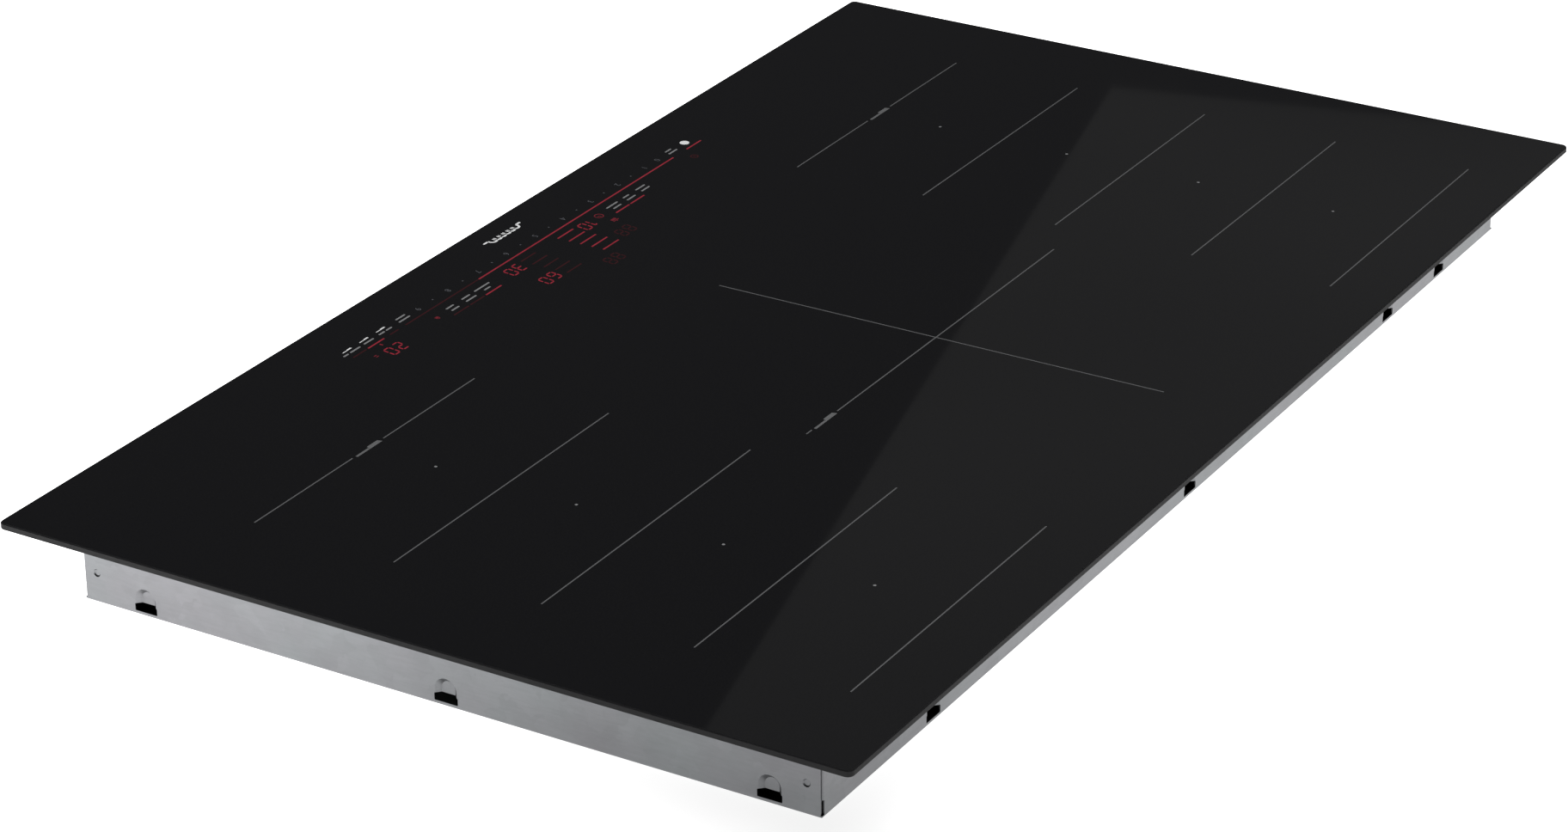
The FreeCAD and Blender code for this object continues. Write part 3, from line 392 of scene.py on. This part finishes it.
def mark(name, outlines, material):
    """One piece of thin closed slabs on the glass, which rides with the casing."""
    vertices, faces = [], []
    for outline in outlines:
        start, count = len(vertices), len(outline)
        for z in (-PRINT_SINK, PRINT_RISE):
            vertices += [(x * MM, y * MM, TOP + z * MM) for x, y in outline]
        faces.append([start + i for i in reversed(range(count))])
        faces.append([start + count + i for i in range(count)])
        for i in range(count):
            j = (i + 1) % count
            faces.append([start + i, start + j, start + count + j, start + count + i])
    mesh = bpy.data.meshes.new(name)
    mesh.from_pydata(vertices, [], faces)
    mesh.validate()
    mesh.materials.append(material)
    piece = bpy.data.objects.new(name, mesh)
    bpy.context.scene.collection.objects.link(piece)
    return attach(piece, "casing")


# Segments of each figure, and where each segment runs from and to in a figure two units wide and high
SEGMENTS = {"0": "abcdef", "1": "hbc", "2": "abged", "3": "abgcd", "6": "acdefg", "8": "abcdefg"}
SEGMENT_ENDS = {
    "a": (-1, 1, 1, 1), "g": (-1, 0, 1, 0), "d": (-1, -1, 1, -1),
    "f": (-1, 0, -1, 1), "e": (-1, -1, -1, 0),
    "b": (1, 0, 1, 1), "c": (1, -1, 1, 0), "h": (0, 0.7, 1, 1),
}


def seven_segment(text, x, y, pitch=8.9, width=6.0, height=10.6, thick=1.05):
    """Slanted seven-segment figures centred at x, y."""
    slant, gap = 0.12, 0.35
    half_w, half_h = width / 2 - 0.4, height / 2 - 0.6
    outlines = []
    for i, figure in enumerate(text):
        centre = x + (i - (len(text) - 1) / 2) * pitch
        for segment in SEGMENTS[figure]:
            u0, v0, u1, v1 = SEGMENT_ENDS[segment]
            a, b = Vector((u0 * half_w, v0 * half_h)), Vector((u1 * half_w, v1 * half_h))
            along = (b - a).normalized()
            a, b, side = a + along * gap, b - along * gap, Vector((-along.y, along.x)) * (thick / 2)
            tip = along * (thick / 2)
            shape = (a, a + tip + side, b - tip + side, b, b - tip - side, a + tip - side)
            outlines.append([(centre + p.x + slant * p.y, y + p.y) for p in reversed(shape)])
    return outlines


def numeral(figure, x, y, height, material):
    """One printed figure of the power scale."""
    curve = bpy.data.curves.new("numeral_curve_" + figure, "FONT")
    curve.body, curve.align_x, curve.align_y = figure, "CENTER", "CENTER"
    curve.size = height * MM / 0.7
    curve.extrude = (PRINT_SINK + PRINT_RISE) / 2 * MM
    source = bpy.data.objects.new("numeral_source_" + figure, curve)
    bpy.context.scene.collection.objects.link(source)
    bpy.context.view_layer.update()
    mesh = bpy.data.meshes.new_from_object(source.evaluated_get(bpy.context.evaluated_depsgraph_get()))
    bpy.data.objects.remove(source)
    bpy.data.curves.remove(curve)
    mesh.transform(Matrix.Translation((x * MM, y * MM, TOP + (PRINT_RISE - PRINT_SINK) / 2 * MM)))
    mesh.materials.clear()
    mesh.materials.append(material)
    piece = bpy.data.objects.new("scale_numeral_" + figure, mesh)
    bpy.context.scene.collection.objects.link(piece)
    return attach(piece, "casing")


def pan_pictogram(x, y, width):
    """Frying pan from the side, with its handle to the right."""
    body, high, thick = width * 0.5, width * 0.13, width * 0.035
    left, right = x - width / 2, x - width / 2 + body
    slope, base, rim = body * 0.09, y - high / 2, y + high / 2
    pan = [(left + slope, base), (right - slope, base), (right, rim), (left, rim)]
    return [pan, bar(right - 0.1, x + width / 2, rim - thick, thick * 2)]


def word_rows(x0, x1, upper_y, lower_y, upper_words, lower_words, height=1.3):
    """Two rows of plain bars that stand where a key's caption is printed; words are shares of the row."""
    outlines = []
    for y, words in ((upper_y, upper_words), (lower_y, lower_words)):
        for first, last in words:
            outlines.append(bar(x0 + (x1 - x0) * first, x0 + (x1 - x0) * last, y, height, rounded=True))
    return outlines


def zone_marks(materials):
    """Lines between the flexible zones, a dot in each zone and the cross of the centre zone."""
    gap_y = ZONE_Y[0]
    for name, side in (("left", -1), ("right", 1)):
        middle = side * ZONE_X
        low, high = middle - ZONE_LENGTH / 2, middle + ZONE_LENGTH / 2
        outlines = [bar(low, high, y, ZONE_LINE) for y in ZONE_Y[1:]]
        outlines.append(bar(low, middle - SIDE_SIGN_GAP, gap_y, ZONE_LINE))
        outlines.append(bar(middle + SIDE_SIGN_GAP, high, gap_y, ZONE_LINE))
        mark(name + "_zone_lines", outlines, materials["zone_print"])
        dots = [disc(middle, (a + b) / 2, DOT_R) for a, b in zip(ZONE_Y, ZONE_Y[1:])]
        mark(name + "_zone_dots", dots, materials["label_print"])
        mark(name + "_pan_sign", pan_pictogram(middle, gap_y, SIGN_WIDTH), materials["sign_print"])
    cross = [
        upright(0.0, CROSS_Y - CROSS_REACH, CROSS_Y + CROSS_REACH, ZONE_LINE),
        bar(-CROSS_REACH, -ZONE_LINE / 2, CROSS_Y, ZONE_LINE),
        bar(ZONE_LINE / 2, CROSS_SIGN_X - CROSS_SIGN_GAP, CROSS_Y, ZONE_LINE),
        bar(CROSS_SIGN_X + CROSS_SIGN_GAP, CROSS_REACH + 1, CROSS_Y, ZONE_LINE),
    ]
    mark("centre_zone_cross", cross, materials["zone_print"])
    mark("centre_pan_sign", pan_pictogram(CROSS_SIGN_X, CROSS_Y, SIGN_WIDTH), materials["sign_print"])


def coil_emblem(materials):
    """Generic coil sign on the front edge: a row of turns between two leads."""
    past = 20.0
    first = -EMBLEM_PITCH * (EMBLEM_TURNS - 1) / 2
    outlines = []
    for i in range(EMBLEM_TURNS):
        outlines += arc(first + i * EMBLEM_PITCH, EMBLEM_Y, EMBLEM_R, EMBLEM_LINE, -past, 180.0 + past, 20)
    base, reach = EMBLEM_Y - EMBLEM_R * math.sin(math.radians(past)), EMBLEM_R - first
    outlines.append(bar(-reach - EMBLEM_LEAD, -reach, base, EMBLEM_LINE, True))
    outlines.append(bar(reach, reach + EMBLEM_LEAD, base, EMBLEM_LINE, True))
    mark("coil_emblem", outlines, materials["white_print"])


def key_captions(materials):
    """Plain stand-ins for the captions beside the touch keys, each where the printed one is."""
    both, wide = ((0.0, 1.0),), ((0.0, 0.45), (0.55, 1.0))
    upper, lower = (-213.5, -217.6), (-231.2, -234.9)
    captions = [
        (-172.6, -162.4, *lower, both, ((0.15, 0.85),)),
        (-111.3, -100.6, *upper, ((0.05, 0.95),), both),
        (-94.0, -84.0, *upper, both, ((0.15, 0.85),)),
        (-79.0, -66.0, *upper, ((0.15, 0.85),), both),
        (66.6, 82.8, *upper, ((0.3, 0.7),), both),
        (86.5, 97.5, *upper, both, ((0.1, 0.9),)),
        (104.9, 112.9, *upper, both, both),
        (131.5, 142.9, *lower, both, ((0.0, 0.85),)),
        (150.4, 163.7, *lower, wide, ()),
        (169.1, 179.1, *lower, both, ()),
        (182.8, 199.7, *lower, ((0.0, 0.6), (0.7, 1.0)), ()),
    ]
    outlines, pans = [], []
    for caption in captions:
        outlines += word_rows(*caption)
    for x in (157.0, 174.1, 191.2):
        pans += pan_pictogram(x, lower[1] - 0.1, 9.0)
    mark("key_captions", outlines, materials["label_print"])
    mark("key_pans", pans, materials["white_print"])
    mark("power_key_dot", [disc(-184.3, -232.8, 3.2, 36)], materials["white_print"])


def power_scale(materials):
    """Slider with its printed figures 0 to 9 and the half steps between them."""
    places = (-150.3, -134.9, -102.5, -70.6, -38.5, -6.8, 25.3, 56.8, 89.3, 121.2)
    for figure, x in enumerate(places):
        numeral(str(figure), x, NUMERAL_Y, NUMERAL_HEIGHT, materials["faint_print"])
    dots = [disc((a + b) / 2, NUMERAL_Y, 0.6, 14) for a, b in zip(places[1:], places[2:])]
    mark("scale_half_steps", dots, materials["faint_print"])
    lit = bar(SLIDER_START, SLIDER_LEVEL, SLIDER_Y, LIT_LINE)
    mark("slider_lit", [lit], materials["lit_red"])
    unlit = bar(SLIDER_LEVEL + SLIDER_GAP, SLIDER_END, SLIDER_Y, LIT_LINE)
    mark("slider_unlit", [unlit], materials["dim_red"])


def lit_marks(materials):
    """Red figures, bars and signs that shine through the glass."""
    figures = seven_segment("10", -39.3, -213.6) + seven_segment("60", 42.4, -188.9)
    figures += seven_segment("30", 42.7, -214.4) + seven_segment("20", 174.1, -211.4)
    mark("lit_figures", figures, materials["lit_red"])
    idle = seven_segment("88", -43.0, -188.5) + seven_segment("88", -2.5, -171.0)
    mark("idle_figures", idle, materials["dim_red"])

    levels = (-218.1, -209.6, -201.2, -192.8, -184.3)
    bars = [bar(-28.2, -10.6, y, LIT_LINE) for y in levels]
    bars += [bar(x0, x1, -208.6, LIT_LINE) for x0, x1 in ((-96.6, -80.4), (-79.0, -63.5), (66.6, 83.2))]
    bars += [bar(x0, x1, SLIDER_Y, LIT_LINE) for x0, x1 in ((-193.2, -175.6), (166.2, 182.4))]
    bars.append(upright(174.2, -223.2, -220.9, 1.0))
    mark("lit_bars", bars, materials["lit_red"])
    idle_bars = [bar(14.4, 30.6, y, LIT_LINE) for y in levels]
    idle_bars += [bar(x0, x1, -208.6, LIT_LINE) for x0, x1 in ((85.0, 100.0), (101.8, 117.4))]
    idle_bars += [bar(x0, x1, SLIDER_Y, LIT_LINE) for x0, x1 in ((151.2, 160.0), (184.3, 197.5))]
    mark("idle_bars", idle_bars, materials["dim_red"])

    clock = arc(-53.7, -215.3, 2.9, 0.7)
    clock += [upright(-53.7, -215.6, -213.4, 0.6), bar(-54.0, -52.2, -215.3, 0.6)]
    mark("clock_sign", clock, materials["soft_red"])
    pot = [bar(-56.0, -51.4, -204.4, 2.2), bar(-56.6, -50.8, -202.4, 0.7), disc(-53.7, -201.5, 0.5, 12)]
    lock = arc(125.7, -214.6, 1.0, 0.5, 0.0, 180.0, 12) + [bar(124.3, 127.1, -215.6, 1.9)]
    timer = [bar(187.8, 190.2, -214.2, 0.7), bar(187.8, 190.2, -216.0, 0.7)]
    mark("lit_signs", pot + lock + timer, materials["soft_red"])
    mark("idle_sign", arc(-167.9, -215.0, 2.4, 1.0) + [disc(-167.9, -215.0, 0.9, 14)],
         materials["dim_red"])


# ---------------------------------------------------------------- smooth copies of the springs and leads

def flexing(node, slot, materials):
    """A smooth copy of a CAD node in the given slot's material, in place of the node, which is hidden."""
    source = frame["nodes"][node]
    mesh = source.data.copy()
    mesh.transform(source.matrix_world)
    mesh.shade_smooth()
    mesh.materials.clear()
    mesh.materials.append(materials[slot])
    piece = bpy.data.objects.new(node + "_flexing", mesh)
    bpy.context.scene.collection.objects.link(piece)
    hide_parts(node)
    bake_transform(piece)


def flexing_parts(materials):
    for side in ("left", "centre", "right"):
        flexing(side + "_coil_springs", "spring_steel", materials)
        flexing(side + "_coil_leads", "lead_sheath", materials)


# ---------------------------------------------------------------- stage, lights and camera

def add_camera():
    azimuth, elevation, roll = (math.radians(a) for a in (CAMERA_AZIMUTH, CAMERA_ELEVATION, CAMERA_ROLL))
    back = Vector((math.sin(azimuth) * math.cos(elevation), -math.cos(azimuth) * math.cos(elevation),
                   math.sin(elevation)))
    right = (-back).cross(Vector((0, 0, 1))).normalized()
    up = back.cross(right)
    right, up = right * math.cos(roll) + up * math.sin(roll), up * math.cos(roll) - right * math.sin(roll)
    data = bpy.data.cameras.new("camera")
    data.sensor_width, data.lens = SENSOR, CAMERA_LENS
    data.clip_start, data.clip_end = 0.05, 100.0
    camera = bpy.data.objects.new("camera", data)
    camera.matrix_world = Matrix.Translation(CAMERA_PLACE) @ Matrix((right, up, back)).transposed().to_4x4()
    bpy.context.scene.collection.objects.link(camera)
    bpy.context.scene.camera = camera


def add_lamp():
    """Soft light from above, aimed at the cooktop; its own image is kept off the glass."""
    data = bpy.data.lights.new("overhead", "AREA")
    data.shape, data.size, data.size_y = "RECTANGLE", LAMP_SIDE, LAMP_SIDE
    data.energy = LAMP_POWER
    light = bpy.data.objects.new("overhead", data)
    light.location = LAMP_PLACE
    light.rotation_euler = (-Vector(LAMP_PLACE)).to_track_quat("-Z", "Y").to_euler()
    light.visible_glossy = False
    bpy.context.scene.collection.objects.link(light)


def add_floor():
    """White light table, whose glow grows away from the rear right corner."""
    r = Recipe("pale_floor")
    away = r.add("VectorMath", {0: r.place, 1: FLOOR_CALM}, operation="DISTANCE").outputs["Value"]
    back = r.add("SeparateXYZ", {"Vector": r.place}).outputs["Y"]
    full = r.add("MapRange", {"Value": back, "From Min": TURN_FRONT, "From Max": TURN_REAR,
                              "To Min": FRONT_GLOW, "To Max": REAR_GLOW}).outputs["Result"]
    glow = r.add("MapRange", {"Value": away, "From Min": CALM_RADIUS, "From Max": FULL_RADIUS,
                              "To Min": CALM_GLOW, "To Max": full}, interpolation_type="SMOOTHSTEP")
    r.set(Base_Color=r.ramp(r.noise(3.0), ((0.3, 0.30), (0.7, 0.32))), Roughness=0.9, Specular_IOR_Level=0.0,
          Emission_Color=(1.0, 1.0, 1.0, 1.0), Emission_Strength=glow.outputs["Result"])
    half, level = FLOOR_HALF, BASE - FLOOR_DROP
    corners = [(-half, -half, level), (half, -half, level), (half, half, level), (-half, half, level)]
    mesh = bpy.data.meshes.new("floor")
    mesh.from_pydata(corners, [], [(0, 1, 2, 3)])
    mesh.materials.append(r.material)
    floor = bpy.data.objects.new("floor", mesh)
    bpy.context.scene.collection.objects.link(floor)


def add_reflector():
    """Faint overhead card, whose image lies across the rear left of the glass with one corner showing."""
    eye = CAMERA_PLACE - Vector((0, 0, TOP))
    grow = CARD_HEIGHT / eye.z

    def above(x, y):
        """The place on the card that the camera sees mirrored at this place on the glass, in mm."""
        card_x, card_y = (c * MM * (1 + grow) - e * grow for c, e in ((x, eye.x), (y, eye.y)))
        return Vector((card_x, card_y, TOP + CARD_HEIGHT))

    corner, along, across = above(*CARD_CORNER), above(*CARD_ALONG), above(*CARD_ACROSS)
    far, deep = (along - corner) * CARD_LENGTH, (across - corner) * CARD_DEPTH
    r = Recipe("reflector_card")
    fade = r.noise(0.8, 1.0)
    r.set(Base_Color=(0.0, 0.0, 0.0, 1.0), Roughness=1.0, Specular_IOR_Level=0.0,
          Emission_Color=r.ramp(fade, ((0.35, 0.8), (0.65, 1.0))), Emission_Strength=CARD_GLOW)
    mesh = bpy.data.meshes.new("reflector")
    mesh.from_pydata([corner, corner + deep, corner + deep + far, corner + far], [], [(0, 1, 2, 3)])
    mesh.materials.append(r.material)
    card = bpy.data.objects.new("reflector", mesh)
    bpy.context.scene.collection.objects.link(card)


def add_world():
    """Dim studio, a little brighter overhead."""
    world = bpy.data.worlds.new("studio")
    bpy.context.scene.world = world
    world.use_nodes = True
    nodes, links = world.node_tree.nodes, world.node_tree.links
    place = nodes.new("ShaderNodeTexCoord")
    split = nodes.new("ShaderNodeSeparateXYZ")
    ramp = nodes.new("ShaderNodeValToRGB")
    below, overhead = ramp.color_ramp.elements
    below.color, overhead.color = (0.05, 0.05, 0.052, 1.0), (0.3, 0.3, 0.3, 1.0)
    for at, color in ((0.6, (0.045, 0.045, 0.047, 1.0)), (0.93, (0.05, 0.05, 0.052, 1.0))):
        ramp.color_ramp.elements.new(at).color = color
    links.new(place.outputs["Generated"], split.inputs[0])
    links.new(split.outputs["Z"], ramp.inputs["Fac"])
    links.new(ramp.outputs["Color"], nodes["Background"].inputs["Color"])


def light_the_stage():
    bpy.context.scene.view_settings.view_transform = "Standard"
    add_world()
    add_floor()
    add_reflector()
    add_lamp()


materials = build_materials()
dress_cad_nodes(materials)
zone_marks(materials)
coil_emblem(materials)
key_captions(materials)
power_scale(materials)
lit_marks(materials)
flexing_parts(materials)
light_the_stage()
add_camera()
